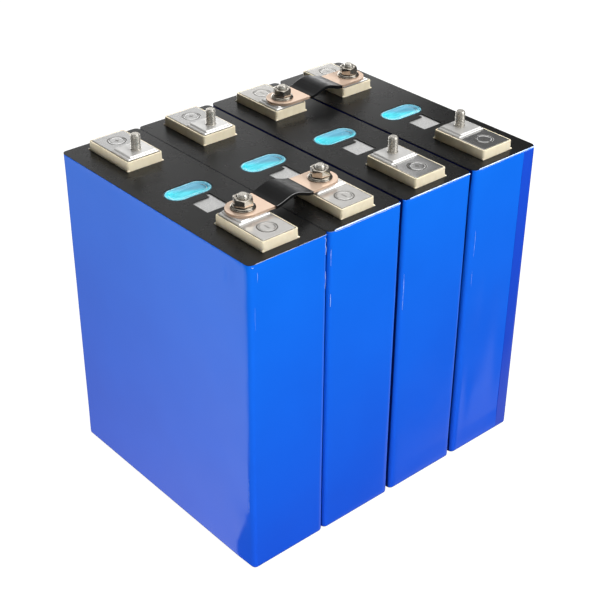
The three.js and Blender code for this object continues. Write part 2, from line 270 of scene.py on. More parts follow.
class Nodes:
    """Shader nodes of a material or of the world."""

    def __init__(self, tree, place):
        self.tree = tree
        self.place = self.node("ShaderNodeTexCoord").outputs[place]

    def node(self, kind, **values):
        made = self.tree.nodes.new(kind)
        for key, value in values.items():
            setattr(made, key, value)
        return made

    def link(self, source, target):
        self.tree.links.new(source, target)

    def axis(self, name):
        parts = self.node("ShaderNodeSeparateXYZ")
        self.link(self.place, parts.inputs[0])
        return parts.outputs[name]

    def spread(self, value, low, high, to_low, to_high, kind="LINEAR"):
        """A value mapped from one range to another, and held at the ends."""
        made = self.node("ShaderNodeMapRange", interpolation_type=kind)
        keys = ("From Min", "From Max", "To Min", "To Max")
        for key, number in zip(keys, (low, high, to_low, to_high)):
            made.inputs[key].default_value = number
        self.link(value, made.inputs["Value"])
        return made.outputs["Result"]

    def maths(self, operation, first, second=None):
        """The result of a sum with one value or two; the second is a number or a node's output."""
        made = self.node("ShaderNodeMath", operation=operation)
        self.link(first, made.inputs[0])
        if isinstance(second, float):
            made.inputs[1].default_value = second
        elif second:
            self.link(second, made.inputs[1])
        return made.outputs[0]


class Surface(Nodes):
    """A Principled material under construction.

    A program that can't read the nodes shows the colour and the roughness given at the start."""

    def __init__(self, name, colour, roughness, metallic=0.0, **sockets):
        self.material = bpy.data.materials.new(name)
        self.material.use_nodes = True
        super().__init__(self.material.node_tree, "Object")
        self.shader = self.tree.nodes["Principled BSDF"]
        self.shader.inputs["Base Color"].default_value = (*colour, 1)
        self.shader.inputs["Roughness"].default_value = roughness
        self.shader.inputs["Metallic"].default_value = metallic
        for socket, value in sockets.items():
            self.shader.inputs[socket.replace("_", " ")].default_value = value

    def stretched(self, scale):
        """The place, with each axis scaled, for grain that runs along one of them."""
        mapping = self.node("ShaderNodeMapping")
        mapping.inputs["Scale"].default_value = scale
        self.link(self.place, mapping.inputs["Vector"])
        return mapping.outputs["Vector"]

    def noise(self, size, detail=3.0, place=None):
        """Noise whose features are about size millimetres across."""
        made = self.node("ShaderNodeTexNoise")
        made.inputs["Scale"].default_value = 1 / (size * MM)
        made.inputs["Detail"].default_value = detail
        made.inputs["Roughness"].default_value = 0.55
        self.link(place or self.place, made.inputs["Vector"])
        return made.outputs["Fac"]

    def mottled(self, noise, first, second, low, high):
        """The base colour, wandering between two colours as a noise goes from low to high."""
        self.colour(self.mix(self.spread(noise, low, high, 0, 1), first, second))

    def mix(self, share, first, second):
        """Two colours mixed; each is a colour or another node's output."""
        made = self.node("ShaderNodeMix", data_type="RGBA")
        for socket, value in (("A", first), ("B", second)):
            target = [s for s in made.inputs if s.name == socket and s.type == "RGBA"][0]
            if isinstance(value, tuple):
                target.default_value = (*value, 1)
            else:
                self.link(value, target)
        self.link(share, made.inputs["Factor"])
        return [s for s in made.outputs if s.type == "RGBA"][0]

    def colour(self, output):
        self.link(output, self.shader.inputs["Base Color"])

    def rough(self, size, low, high):
        """Roughness that wanders between two values."""
        value = self.spread(self.noise(size), 0.3, 0.7, low, high)
        self.link(value, self.shader.inputs["Roughness"])

    def bump(self, *layers):
        """Bump from layers of (height output, depth in millimetres)."""
        normal = None
        for height, depth in layers:
            made = self.node("ShaderNodeBump")
            made.inputs["Distance"].default_value = depth * MM
            self.link(height, made.inputs["Height"])
            if normal:
                self.link(normal, made.inputs["Normal"])
            normal = made.outputs["Normal"]
        self.link(normal, self.shader.inputs["Normal"])


def mottled_surface(name, dark, light, patches, rough, metallic=0.0, bump=None, **sockets):
    """A plain material that wanders between two colours.

    Patches: the size and the detail of a noise, and the part of it that the colours are spread over.
    Rough: the size of its own patches, and its least and its most. Bump: size, detail and depth."""
    s = Surface(name, light, rough[2], metallic, **sockets)
    s.mottled(s.noise(*patches[:2]), dark, light, *patches[2:])
    s.rough(*rough)
    if bump:
        s.bump((s.noise(*bump[:2]), bump[2]))
    return s.material


# Middle and half width of each gap between cells. Inside the gaps the films are painted dark:
# painted shade, where little light reaches.
LEFTS = [box_mm(f"cell_{cell}_jacket")[0][0] for cell in CELLS]
RIGHTS = [box_mm(f"cell_{cell}_jacket")[1][0] for cell in CELLS]
SHADED_GAPS = [((left + right) / 2, (left - right) / 2) for right, left in zip(RIGHTS, LEFTS[1:])]


def blue_film():
    s = Surface("blue_film", (0.005, 0.14, 0.8), 0.1, IOR=1.5)
    # Darker and more purple towards the bottom, in both colour pairs: painted shade, as the light falls
    # from above.
    height = s.spread(s.axis("Z"), 0, SHEET_TOP * MM, 0, 1)
    shaded_by_height = s.mix(height, (0.011, 0.088, 0.685), (0.004, 0.140, 0.76))
    cloud = s.spread(s.noise(60, 2), 0.35, 0.65, 0, 1)
    film = s.mix(cloud, shaded_by_height, s.mix(height, (0.010, 0.094, 0.72), (0.005, 0.150, 0.79)))
    # Painted shade: the film turns dark navy within each gap between cells.
    for middle, half_width in SHADED_GAPS:
        beside = s.maths("ABSOLUTE", s.maths("SUBTRACT", s.axis("X"), middle * MM))
        reach = (half_width + 0.3) * MM
        film = s.mix(s.spread(beside, reach - 0.15 * MM, reach, 1, 0), film, (0.003, 0.013, 0.13))
    # Painted contact shadow: a dark band along the film's bottom edge.
    foot = s.spread(s.axis("Z"), 0.3 * MM, 1.1 * MM, 1, 0)
    s.colour(s.mix(foot, film, (0.003, 0.012, 0.10)))
    s.rough(25, 0.07, 0.13)
    s.bump((s.noise(18, 2), 0.02), (s.noise(1.6, 2), 0.002))
    return s.material


def film_shade_strip():
    # Painted shade: darker than the rest of the film, and darker still towards the bottom.
    s = Surface("film_shade_strip", (0.006, 0.09, 0.60), 0.1, IOR=1.5)
    height = s.spread(s.axis("Z"), 0, SHEET_TOP * MM, 0, 1)
    s.colour(s.mix(height, (0.013, 0.056, 0.53), (0.010, 0.070, 0.60)))
    s.rough(18, 0.07, 0.13)
    return s.material


def vent_film(centre):
    s = Surface("vent_film", (0.05, 0.50, 0.72), 0.22, Coat_Weight=0.15, Coat_Roughness=0.06)
    streaks = s.noise(5, 3, s.stretched((1, 3.2, 1)))
    body = s.mix(s.spread(streaks, 0.42, 0.68, 0, 1), (0.022, 0.47, 0.57), (0.07, 0.62, 0.73))
    # Painted shade: the film darkens towards its right and rear end.
    to_right = s.spread(s.axis("X"), (centre[0] - 14) * MM, (centre[0] + 14) * MM, 0, 1)
    to_rear = s.spread(s.axis("Y"), (centre[1] - 7) * MM, (centre[1] + 7) * MM, 0, 1)
    shade = s.spread(s.maths("ADD", to_right, to_rear), 0.95, 1.35, 0, 0.85, "SMOOTHSTEP")
    s.colour(s.mix(shade, body, (0.08, 0.24, 0.36)))
    s.rough(6, 0.18, 0.3)
    s.bump((s.noise(7, 3), 0.08))
    return s.material


def cream_plastic():
    s = Surface("cream_plastic", (0.72, 0.64, 0.47), 0.42, IOR=1.5, Subsurface_Weight=0.12)
    s.shader.inputs["Subsurface Radius"].default_value = (0.0016, 0.0012, 0.0007)
    streaks = s.noise(3, 3, s.stretched((1, 1, 0.5)))
    s.mottled(streaks, (0.68, 0.60, 0.44), (0.74, 0.665, 0.50), 0.3, 0.7)
    s.rough(4, 0.34, 0.5)
    s.bump((s.noise(1.1, 3), 0.012))
    return s.material


def electrode_foil():
    s = Surface("electrode_foil", (0.06, 0.062, 0.066), 0.55, 0.3)
    layers = s.noise(1.2, 2, s.stretched((1, 0.06, 0.06)))
    s.colour(s.mix(layers, (0.03, 0.031, 0.034), (0.10, 0.10, 0.105)))
    s.rough(6, 0.45, 0.7)
    s.bump((layers, 0.03))
    return s.material


def copper():
    s = Surface("copper", (0.93, 0.62, 0.46), 0.15, 0.48)
    s.colour(s.mix(s.noise(8, 4), (0.76, 0.55, 0.41), (0.84, 0.65, 0.51)))
    s.rough(5, 0.1, 0.18)
    scratches = s.noise(0.5, 3, s.stretched((0.06, 1, 1)))
    s.bump((s.noise(9, 2), 0.04), (scratches, 0.004))
    return s.material


def black_sleeve():
    s = Surface("black_sleeve", (0.004, 0.004, 0.004), 0.36, IOR=1.3)
    s.colour(s.mix(s.noise(3, 3), (0.003, 0.003, 0.0033), (0.006, 0.006, 0.0063)))
    s.rough(4, 0.3, 0.45)
    s.bump((s.noise(4, 3, s.stretched((1, 0.3, 1))), 0.05), (s.noise(0.5, 3), 0.006))
    return s.material


BLUE = blue_film()
SHADE_STRIP = film_shade_strip()
CREAM = cream_plastic()
FOIL = electrode_foil()
COPPER = copper()
SLEEVE = black_sleeve()

CLEAR, SOFT = (0.35, 0.65), (0, 1)  # patches with clear edges, and patches that melt into each other
# The hem's pale colour is a painted highlight along the film's top front edge.
HEM = mottled_surface(
    "film_hem_highlight", (0.38, 0.52, 0.88), (0.8, 0.85, 0.95),
    (4, 3, *CLEAR), (2, 0.08, 0.2), bump=(1.5, 2, 0.01), IOR=1.7,
)
# The creases' pale colour is a painted glint on each.
CREASE = mottled_surface(
    "film_crease_glint", (0.16, 0.36, 0.88), (0.62, 0.76, 0.96),
    (3, 3, *CLEAR), (2, 0.12, 0.25),
)
BLACK = mottled_surface(
    "black_sheet", (0.0055, 0.0056, 0.0056), (0.0075, 0.0075, 0.0073),
    (9, 4, *SOFT), (14, 0.25, 0.31), bump=(0.8, 3, 0.004), IOR=1.28,
)
VENT_BORDER = mottled_surface(
    "vent_border", (0.008, 0.08, 0.12), (0.012, 0.15, 0.21),
    (3, 3, *CLEAR), (2, 0.24, 0.36),
)
VENT_RIM = mottled_surface(
    "vent_rim", (0.12, 0.42, 0.52), (0.30, 0.58, 0.66),
    (3, 3, *CLEAR), (2, 0.19, 0.31),
)
FLATNESS = (12, 1, 0.02)  # slow waves of the welded metal parts
ALUMINIUM = mottled_surface(
    "terminal_aluminium", (0.50, 0.485, 0.455), (0.62, 0.61, 0.59),
    (5, 4, *SOFT), (3.2, 0.13, 0.2), 0.65, FLATNESS,
)
POLISHED = mottled_surface(
    "polished_aluminium", (0.54, 0.535, 0.525), (0.68, 0.675, 0.665),
    (6, 4, *SOFT), (4, 0.1, 0.17), 0.92, FLATNESS,
)
NICKEL = mottled_surface(
    "pad_nickel", (0.68, 0.67, 0.65), (0.80, 0.79, 0.77),
    (4, 3, *SOFT), (4, 0.2, 0.27), 0.6, FLATNESS,
)
CASE = mottled_surface(
    "case_aluminium", (0.48, 0.48, 0.475), (0.62, 0.615, 0.605),
    (0.55, 2, 0.4, 0.62), (1.2, 0.38, 0.5), 0.6, (2, 1, 0.012),
)
STEEL_GRAIN = (1.5, 2, 0.006)
STUD_STEEL = mottled_surface(
    "stud_steel", (0.52, 0.49, 0.43), (0.74, 0.71, 0.65),
    (2.2, 3, *SOFT), (1.8, 0.2, 0.32), 0.75, STEEL_GRAIN,
)
NUT_STEEL = mottled_surface(
    "nut_steel", (0.42, 0.38, 0.32), (0.62, 0.575, 0.51),
    (2.2, 3, *SOFT), (1.8, 0.08, 0.16), 0.97, STEEL_GRAIN,
)
MARK = mottled_surface(
    "etched_mark", (0.07, 0.068, 0.062), (0.2, 0.19, 0.17),
    (0.6, 2, *SOFT), (0.8, 0.4, 0.6), 0.8,
)
# The rib's pale grey is a painted highlight along the sleeve's outer edge.
SLEEVE_EDGE = mottled_surface(
    "sleeve_edge_highlight", (0.12, 0.12, 0.12), (0.30, 0.30, 0.30),
    (2, 3, *SOFT), (2, 0.2, 0.35),
)

# ---- the case

FILM_WALL = 0.4
FILM_SPACING = 2.0
HEM_RADIUS = 0.2
FRONT_SHIFT = 300  # moves the ripples of the front and rear along, so that they don't match the sides'


def film_wave(seed):
    """Slow ripples of a shrunk film: a function, from 0 to 1, of the way along a side and the height."""
    draw = np.random.default_rng(seed)
    waves = []
    for length in (150, 110, 80, 60, 45, 33):
        angle = draw.uniform(0, math.pi)
        waves.append((2 * math.pi / length, angle, draw.uniform(0, 2 * math.pi), length / 150))
    total = sum(w[3] for w in waves)

    def wave(along, height):
        value = 0.0
        for number, angle, phase, weight in waves:
            way = along * math.cos(angle) + height * math.sin(angle)
            value = value + weight * np.sin(number * way + phase)
        return 0.5 + 0.5 * value / total

    return wave


RIPPLE = {1: 0.12, 2: 0.12, 3: 0.12, 4: 0.3}  # depth of each cell's ripples

# Slack folds of cell 1's film, on its -X side by the front edge: how far each reaches from the edge,
# at heights above the floor.
PINCH_HEIGHTS = (0, 12, 21, 34, 38, 41)
PINCH_REACH = (15, 14.5, 11.6, 6, 6.5, 3.2)
PINCH_SLOPE = 0.04


def pinch(from_edge, height):
    """Depth of cell 1's slack fold."""
    reach = np.interp(height, PINCH_HEIGHTS, PINCH_REACH)
    return np.clip(reach - np.maximum(from_edge, CORNER_RADIUS), 0, None) * PINCH_SLOPE


# Shallow dents of the films: cell, side, way along it, height, half width, half height, depth.
DENTS = (
    (1, "left", -70, 192, 3.0, 10, 0.14),
    (1, "left", -66, 178, 2.5, 8, 0.06),
    (1, "left", 40, 196, 8.0, 5, 0.05),
    (4, "front", -8, 120, 5.0, 30, 0.14),
    (4, "front", 8, 60, 7.0, 34, 0.16),
    (4, "front", -18, 40, 4.0, 22, 0.10),
    (3, "front", 12, 150, 6.0, 30, 0.04),
    (2, "front", -14, 60, 5.0, 26, 0.03),
)


def dents(number, side, along, height):
    """Total depth of a cell's dents at places along a side."""
    depth = 0.0
    for cell, face, middle, level, half_width, half_height, deepest in DENTS:
        if (cell, face) == (number, side):
            away = ((along - middle) / half_width) ** 2 + ((height - level) / half_height) ** 2
            depth = depth + deepest * np.exp(-away)
    return depth


def make_jacket(number):
    """The film of a cell, with a rounded hem along its top edge."""
    centre, width, length = plan_mm(f"cell_{number}_jacket")
    top = SHEET_BASE - 0.05
    counts = matching_counts(width, length, CORNER_RADIUS, FILM_SPACING)
    wave = film_wave(number)

    def ring(inset, height, ripple=0.0):
        radius = max(CORNER_RADIUS - inset, 0.6)
        flat = outline(width - 2 * inset, length - 2 * inset, radius, counts, 8)
        beside = abs(flat) > np.array([width, length]) / 2 - CORNER_RADIUS
        if ripple:
            x, y = flat.T
            depth = ripple * wave(np.where(beside[:, 0], y, x + FRONT_SHIFT), height)
            depth = depth + np.where(x < 2 - width / 2, dents(number, "left", y, height), 0)
            depth = depth + np.where(y < 2 - length / 2, dents(number, "front", x, height), 0)
            flat = flat - np.sign(flat) * beside * depth[:, None]
        if number == 1:
            left = np.clip((-flat[:, 0] - width / 2 + CORNER_RADIUS) / CORNER_RADIUS, 0, 1)
            flat[:, 0] += left**2 * pinch(flat[:, 1] + length / 2, height)
        return at(flat, height)

    rings = [ring(6, 0), ring(1.2, 0), ring(0.5, 0.12), ring(0.12, 0.5), ring(0, 1.2)]
    heights = np.concatenate([np.linspace(4, 44, 27), np.linspace(47, top - 4, 54)])
    for height in heights:
        fade = min(1, (height - 4) / 12, (top - 4 - height) / 12)
        rings.append(ring(0, height, RIPPLE[number] * max(fade, 0.02)))
    rings.append(ring(0, top - 2 * HEM_RADIUS - 0.4))
    for angle in (-60, -20, 20, 60, 90, 130, 170):
        turn = math.radians(angle)
        inset = HEM_RADIUS * (1 - math.cos(turn))
        rings.append(ring(inset, top - HEM_RADIUS + HEM_RADIUS * math.sin(turn)))
    rings.append(ring(FILM_WALL + 0.1, top - 2 * HEM_RADIUS - 0.5))
    rings.append(ring(FILM_WALL, top - 5))
    rings.append(ring(FILM_WALL, FILM_WALL + 1))
    rings.append(ring(FILM_WALL + 1, FILM_WALL))
    Skins().loft(rings).piece(
        f"cell_{number}_film", "block", BLUE, "blue_film", [f"cell_{number}_jacket"], centre, sharp=50
    )


LIP_WIDTHS = {1: 0.11, 2: 0.9, 3: 0.7, 4: 0.7}  # how far each cell's hem shows from above


def make_lip(number):
    """Glossy bevelled hem of the film along the cell's top front edge, coloured pale as a painted
    highlight.
    """
    low, high = box_mm(f"cell_{number}_jacket")
    width = LIP_WIDTHS[number]
    front, top = low[1], SHEET_TOP - 0.06
    left, right = low[0] + CORNER_RADIUS + 0.6, high[0] - 1.6
    taper = [(0, 0.25), (0.8, 0.8), (2, 1)]
    stations = [(left + x, share) for x, share in taper]
    stations += [(right - x, share) for x, share in reversed(taper)]
    section = [(0.03, 0), (0.02, 0.1), (width - 0.08, width - 0.02), (width, width), (width, 0)]
    rings = []
    for x, share in stations:
        rings.append([(x, front + y * share, top - (width - z) * share) for y, z in section])
    Skins().loft(rings).piece(f"cell_{number}_film_hem_highlight", "block", HEM, "blue_film", sharp=30)


# Fine creases of the films, coloured pale as painted glints: cell, side, way along it and height of each
# point, width.
CREASES = (
    (1, "front", ((-21.8, 199.5), (-21.5, 197), (-21.7, 193.5)), 0.34),
    (1, "front", ((-25.2, 203.2), (-24.4, 202.6), (-23.6, 203.1)), 0.6),
    (1, "front", ((24.0, 203.3), (25.2, 201.2), (24.6, 198.6), (25.4, 195.6), (24.9, 192.2)), 0.42),
    (1, "front", ((20.6, 203.0), (22.6, 201.9), (24.6, 202.6)), 0.36),
    (1, "front", ((9.2, 203.2), (10.0, 202.4), (11.2, 203.1)), 0.4),
    (1, "front", ((13.2, 203.3), (14.0, 202.9), (15.0, 203.3)), 0.36),
    (1, "front", ((25.0, 182), (25.3, 176), (24.9, 171)), 0.14),
    (1, "front", ((-23.4, 179), (-23.5, 172), (-23.3, 165)), 0.2),
    (1, "left", ((-83.5, 66), (-83.4, 54), (-83.1, 41)), 0.2),
    (1, "left", ((-84.0, 203.5), (-40, 203.6), (10, 203.6), (60, 203.6), (84, 203.5)), 0.12),
    (2, "front", ((-25.2, 166), (-25.1, 162), (-25.2, 158)), 0.3),
    (2, "front", ((-25.4, 194), (-25.5, 190), (-25.4, 184)), 0.12),
    (3, "front", ((-24.6, 157), (-24.4, 147), (-24.6, 133)), 0.26),
    (4, "front", ((-21.6, 164), (-21.4, 156), (-21.7, 146)), 0.26),
    (4, "front", ((-21.5, 137), (-21.7, 131), (-21.5, 125)), 0.2),
)


def make_creases(number):
    """Thin raised creases of a cell's film, tapered to nothing at their ends, and pale as painted glints.
    """
    centre, cell_width, cell_length = plan_mm(f"cell_{number}_jacket")
    left, front = centre - [cell_width / 2, cell_length / 2]
    skins = Skins()
    for cell, side, path, width in CREASES:
        if cell != number:
            continue
        way = np.array(path, float)
        bends = np.linspace(0, len(way) - 1, 4 * len(way))
        along = np.interp(bends, range(len(way)), way[:, 0])
        height = np.interp(bends, range(len(way)), way[:, 1])
        run = np.stack([np.gradient(along), np.gradient(height)], 1)
        run = run / np.linalg.norm(run, axis=1)[:, None]
        share = np.sin(np.linspace(0.12, math.pi - 0.12, len(bends)))
        rings = []
        for a, h, (da, dh), s in zip(along, height, run, share):
            half = width / 2 * s
            ring = []
            for w, depth in ((half, 0.3), (half * 0.35, 0.01), (-half * 0.35, 0.01), (-half, 0.3)):
                if side == "front":
                    ring.append((centre[0] + a - dh * w, front + depth, h + da * w))
                else:
                    ring.append((left + depth, centre[1] + a + dh * w, h - da * w))
            rings.append(ring)
        skins.loft(rings)
    skins.piece(f"cell_{number}_film_creases", "block", CREASE, "blue_film", sharp=30)


SHADE_STRIP_WIDTH = 11.0
SHADE_STRIP_THICKNESS = 0.3


def make_shade_strip(number):
    """A strip of darker film, down the right side of a cell's front and a little round the corner: painted
    shade where the face curves away from the light.
    """
    low, high = box_mm(f"cell_{number}_jacket")
    hub = (high[0] - CORNER_RADIUS, low[1] + CORNER_RADIUS)
    edge = high[0] - SHADE_STRIP_WIDTH
    outer = [(edge, low[1]), ((edge + hub[0]) / 2, low[1])]
    inner = [(x, y + SHADE_STRIP_THICKNESS) for x, y in outer]
    for turn in range(-90, -9, 10):
        outer.append(hub + CORNER_RADIUS * facing(turn))
        inner.append(hub + (CORNER_RADIUS - SHADE_STRIP_THICKNESS) * facing(turn))
    section = np.array(outer + inner[::-1])
    rings = [at(section, height) for height in np.linspace(1.4, SHEET_BASE - 0.8, 40)]
    Skins().loft(rings).piece(f"cell_{number}_film_shade_strip", "block", SHADE_STRIP, "blue_film", sharp=40)


SHEET_GAP = 0.3  # between the cover sheet and what stands in its openings


def make_top_sheet(number):
    """The cover sheet of a cell, with openings for its trays and its vent, and a window."""
    centre, width, length = plan_mm(f"cell_{number}_top_sheet")
    lip = LIP_WIDTHS[number]
    gap = 2 * SHEET_GAP
    rings = [outline(width, length - lip, CORNER_RADIUS, (1, 1), 8, (0, lip / 2))]
    for end in ENDS:
        middle, tray_width, tray_length = plan_mm(f"cell_{number}_{end}_insulator")
        rings.append(outline(tray_width + gap, tray_length + gap, 0.5, (1, 1), 2, middle - centre))
    _, vent_width, vent_length = plan_mm(f"cell_{number}_vent_film")
    depth = vent_length + gap
    rings.append(outline(vent_width + gap, depth, depth / 2 - 0.01, (1, 1), 10))
    rings.append(label_window())
    points, faces = sheet_mesh(rings, SHEET_BASE, SHEET_TOP, 0.05)
    Skins().add_mesh(points, faces).piece(
        f"cell_{number}_cover_sheet", "block", BLACK, "black_sheet", [f"cell_{number}_top_sheet"], centre
    )


WINDOW = {"width": 15, "depth": 14, "from_centre": 20.8, "tab_width": 2.8, "tab_depth": 3.6, "tab_x": 6.1}


def label_window():
    """Outline of the window over the label, with its small tab."""
    half = WINDOW["width"] / 2
    front = -WINDOW["from_centre"] - WINDOW["depth"] / 2
    rear = -WINDOW["from_centre"] + WINDOW["depth"] / 2
    tab_left = WINDOW["tab_x"] - WINDOW["tab_width"] / 2
    tab_right = WINDOW["tab_x"] + WINDOW["tab_width"] / 2
    tab_rear = rear + WINDOW["tab_depth"]
    tab = [(tab_right, rear), (tab_right, tab_rear), (tab_left, tab_rear), (tab_left, rear)]
    return [(-half, front), (half, front), (half, rear), *tab, (-half, rear)]


def make_vent(number):
    """Protective film over the vent: a dark stuck-down border, a raised pale rim and a sunken middle."""
    centre, width, length = plan_mm(f"cell_{number}_vent_film")

    def ring(inset, height):
        depth = length - 2 * inset
        flat = outline(width - 2 * inset, depth, depth / 2 - 0.005, (1, 8), 10)
        return at(flat, SHEET_TOP + height)

    def make(kind, surface, profile, nodes=(), endless=True):
        rings = [ring(inset, height) for inset, height in profile]
        Skins().loft(rings, endless).piece(
            f"cell_{number}_vent_{kind}", "block", surface, "vent_film", nodes, centre, sharp=60
        )

    border = [(0, -0.5), (0, -0.22), (0.15, -0.14), (0.5, -0.14), (0.5, -0.5)]
    make("border", VENT_BORDER, border)
    rim = [(0.4, -0.5), (0.4, -0.14), (0.5, -0.06), (0.65, -0.04), (0.85, -0.08), (1, -0.2), (1, -0.5)]
    make("rim", VENT_RIM, rim)
    below = [(5.3, -1.6), (3.8, -1.55), (2.5, -1.2), (1.8, -0.6), (1.0, -0.48), (0.92, -0.3)]
    above = [(1.05, -0.2), (1.7, -0.28), (2.2, -0.42), (2.9, -0.85), (3.9, -1.15), (5.3, -1.22)]
    make("cover", vent_film(centre), below + above, [f"cell_{number}_vent_film"], endless=False)


# ---- a terminal
# Shapes are for a front terminal about its plate's middle, with +Y towards the cell's middle.

TRAY_RIM = 1.0
TRAY_CORNER = 1.6
EAR = 0.75  # how far each corner of the tray's foot is drawn out
CORNER_STEPS = 6
TERMINAL_COUNTS = matching_counts(TRAY_WIDTH, TRAY_LENGTH, TRAY_CORNER, 1.3)
WELD = (0, -WELD_OUTWARD)
MINUS_ENDS = {(1, "front"), (2, "front"), (3, "rear"), (4, "rear")}


def terminal_piece(skins, number, end, kind, surface, slot, node=None, sharp=32):
    """Makes a piece of a terminal, and turns it round to its own end of the cell."""
    name = f"cell_{number}_{end}_"
    centre = plan_mm(name + "insulator")[0]
    nodes = [name + node] if node else ()
    skins.piece(name + kind, "block", surface, slot, nodes, centre, ENDS[end], sharp)


def weld_circle(ring, radius, height):
    """A circle about the weld, whose points match those of a ring."""
    return at(facing_circle(ring, radius, WELD), height)


def tray_ring(inset, ear=0.0):
    """An outline of the tray, with its corners drawn out into ears."""
    width, length = TRAY_WIDTH - 2 * inset, TRAY_LENGTH - 2 * inset
    radius = max(TRAY_CORNER - inset, 0.5)
    ring = outline(width, length, radius, TERMINAL_COUNTS, CORNER_STEPS)
    if ear:
        corner = np.array([width, length]) / 2 - radius
        past = np.clip((abs(ring) - corner) / radius, 0, 1)
        share = np.sqrt(past[:, 0] * past[:, 1] * 2)
        ring = ring + np.sign(ring) * (ear * share**3)[:, None]
    return ring


NECK_RADIUS = 4.2  # the tray's round neck, down through the lid
NECK_BORE = 3.2
FLANGE_RADIUS = 8.0  # under the lid


def make_tray(number, end):
    """The cream tray under a plate, with its neck and the flange under the lid."""
    pocket = PLATE_BASE - 0.1
    rim_top = TRAY_TOP - 0.2
    foot = [(0.5, 0, 0), (0, EAR, 0.1), (0, EAR, 0.9), (0.02, 0, 1.3)]
    rings = [at(tray_ring(inset, ear), TRAY_BASE + rise) for inset, ear, rise in foot]
    rim = [(0.1, -0.5), (0.14, -0.22), (0.24, -0.06), (0.4, 0)]
    rim += [(TRAY_RIM - 0.25, 0), (TRAY_RIM - 0.08, -0.06), (TRAY_RIM, -0.25)]
    rings += [at(tray_ring(inset), rim_top + rise) for inset, rise in rim]
    rings += [at(tray_ring(TRAY_RIM), pocket + 0.2), at(tray_ring(TRAY_RIM + 0.2), pocket)]
    under = [
        (NECK_BORE, pocket),
        (NECK_BORE, FLANGE_BASE),
        (FLANGE_RADIUS - 0.1, FLANGE_BASE),
        (FLANGE_RADIUS, FLANGE_BASE + 0.15),
        (FLANGE_RADIUS, FLANGE_TOP),
        (NECK_RADIUS, FLANGE_TOP),
        (NECK_RADIUS, TRAY_BASE),
    ]
    rings += [weld_circle(tray_ring(0), radius, height) for radius, height in under]
    skins = Skins().loft(rings, endless=True)
    terminal_piece(skins, number, end, "tray", CREAM, "cream_plastic", "insulator")


PLATE_CORNER = 0.7
RIVET_RADIUS = 2.8
COLLECTOR = {"width": 20, "length": 30, "thickness": 1.5}
TAB = {"width": 14, "thickness": 1.2, "inward": 14.4, "height": 8}


def make_plate(number, end):
    """A terminal plate with its weld, and the rivet post, the collector and its tab under it."""
    width, length = plan_mm("cell_1_front_terminal")[1:]

    def rim(inset):
        radius = max(PLATE_CORNER - inset, 0.3)
        return outline(width - 2 * inset, length - 2 * inset, radius, TERMINAL_COUNTS, CORNER_STEPS)

    button = [(0.6, -0.03), (3.6, -0.03), (3.95, -0.05), (4.15, -0.14), (4.35, -0.05), (4.6, 0.03)]
    groove = [(5.0, 0.03), (5.2, -0.1), (5.45, -0.18), (5.7, -0.06), (6.0, 0.0)]
    rings = [weld_circle(rim(0), radius, PLATE_TOP + rise) for radius, rise in button + groove]
    edge = [(0.45, PLATE_TOP), (0.2, PLATE_TOP - 0.04), (0.06, PLATE_TOP - 0.14), (0, PLATE_TOP - 0.35)]
    edge += [(0, PLATE_BASE + 0.3), (0.3, PLATE_BASE)]
    rings += [at(rim(inset), height) for inset, height in edge]
    base = COLLECTOR_BASE + TAB["height"]
    top = base + COLLECTOR["thickness"]
    collector = outline(COLLECTOR["width"], COLLECTOR["length"], 1.0, TERMINAL_COUNTS, CORNER_STEPS)
    rings += [weld_circle(rim(0), RIVET_RADIUS, height) for height in (PLATE_BASE, top)]
    rings += [at(collector, top), at(collector, base), weld_circle(rim(0), 1.0, base)]
    skins = Skins().loft(rings[::-1])
    tab = outline(TAB["width"], TAB["thickness"], 0.3, (1, 1), 2, (0, TAB["inward"]))
    skins.loft([at(tab, COLLECTOR_BASE), at(tab, base + 0.2)])
    surface = ALUMINIUM if (number, end) in MINUS_ENDS else POLISHED
    terminal_piece(skins, number, end, "plate", surface, "terminal_aluminium", "terminal")


MINUS_LENGTH = 4.4
PLUS_LENGTH = 3.2
MARK_WIDTH = 0.5


def make_mark(number, end):
    """Generic polarity mark etched inside the weld, and a dark line round the weld."""
    skins = Skins()
    minus = (number, end) in MINUS_ENDS
    bars = [(MARK_WIDTH, MINUS_LENGTH)] if minus else [(MARK_WIDTH, PLUS_LENGTH), (PLUS_LENGTH, MARK_WIDTH)]
    for turn, (width, length) in enumerate(bars):
        top = PLATE_TOP + 0.01 + 0.004 * turn
        flat = outline(width, length, MARK_WIDTH / 2 - 0.01, (1, 1), 3, WELD)
        upper = outline(width - 0.1, length - 0.1, MARK_WIDTH / 2 - 0.06, (1, 1), 3, WELD)
        skins.loft([at(flat, PLATE_TOP - 0.1), at(flat, top - 0.03), at(upper, top)])
    line = [(5.15, -0.16), (5.15, -0.02), (5.55, -0.02), (5.55, -0.16)]
    skins.loft([at(circle(radius, 48, WELD), PLATE_TOP + rise) for radius, rise in line], endless=True)
    terminal_piece(skins, number, end, "polarity_mark", MARK, "terminal_aluminium")


PAD_BEVEL = 0.6
PAD_CORNER = 0.5
SEAM_SINK = 0.02  # how far the foot's top lies below the CAD one
WELD_SINK = 0.08  # how far the foot is pressed into the plate


def bevelled_slab(skins, width, length, base, top):
    """A slab of the pad with softly bevelled upper edges."""
    near, far = 0.08 * PAD_BEVEL, 0.86 * PAD_BEVEL
    profile = [
        (0.15, base),
        (0, base + 0.12),
        (0, top - PAD_BEVEL),
        (near, top - far),
        (far, top - near),
        (PAD_BEVEL, top),
    ]
    rings = []
    for inset, height in profile:
        radius = max(PAD_CORNER - inset, 0.12)
        flat = outline(width - 2 * inset, length - 2 * inset, radius, (1, 1), 4, (0, PAD_INWARD))
        rings.append(at(flat, height))
    skins.loft(rings)


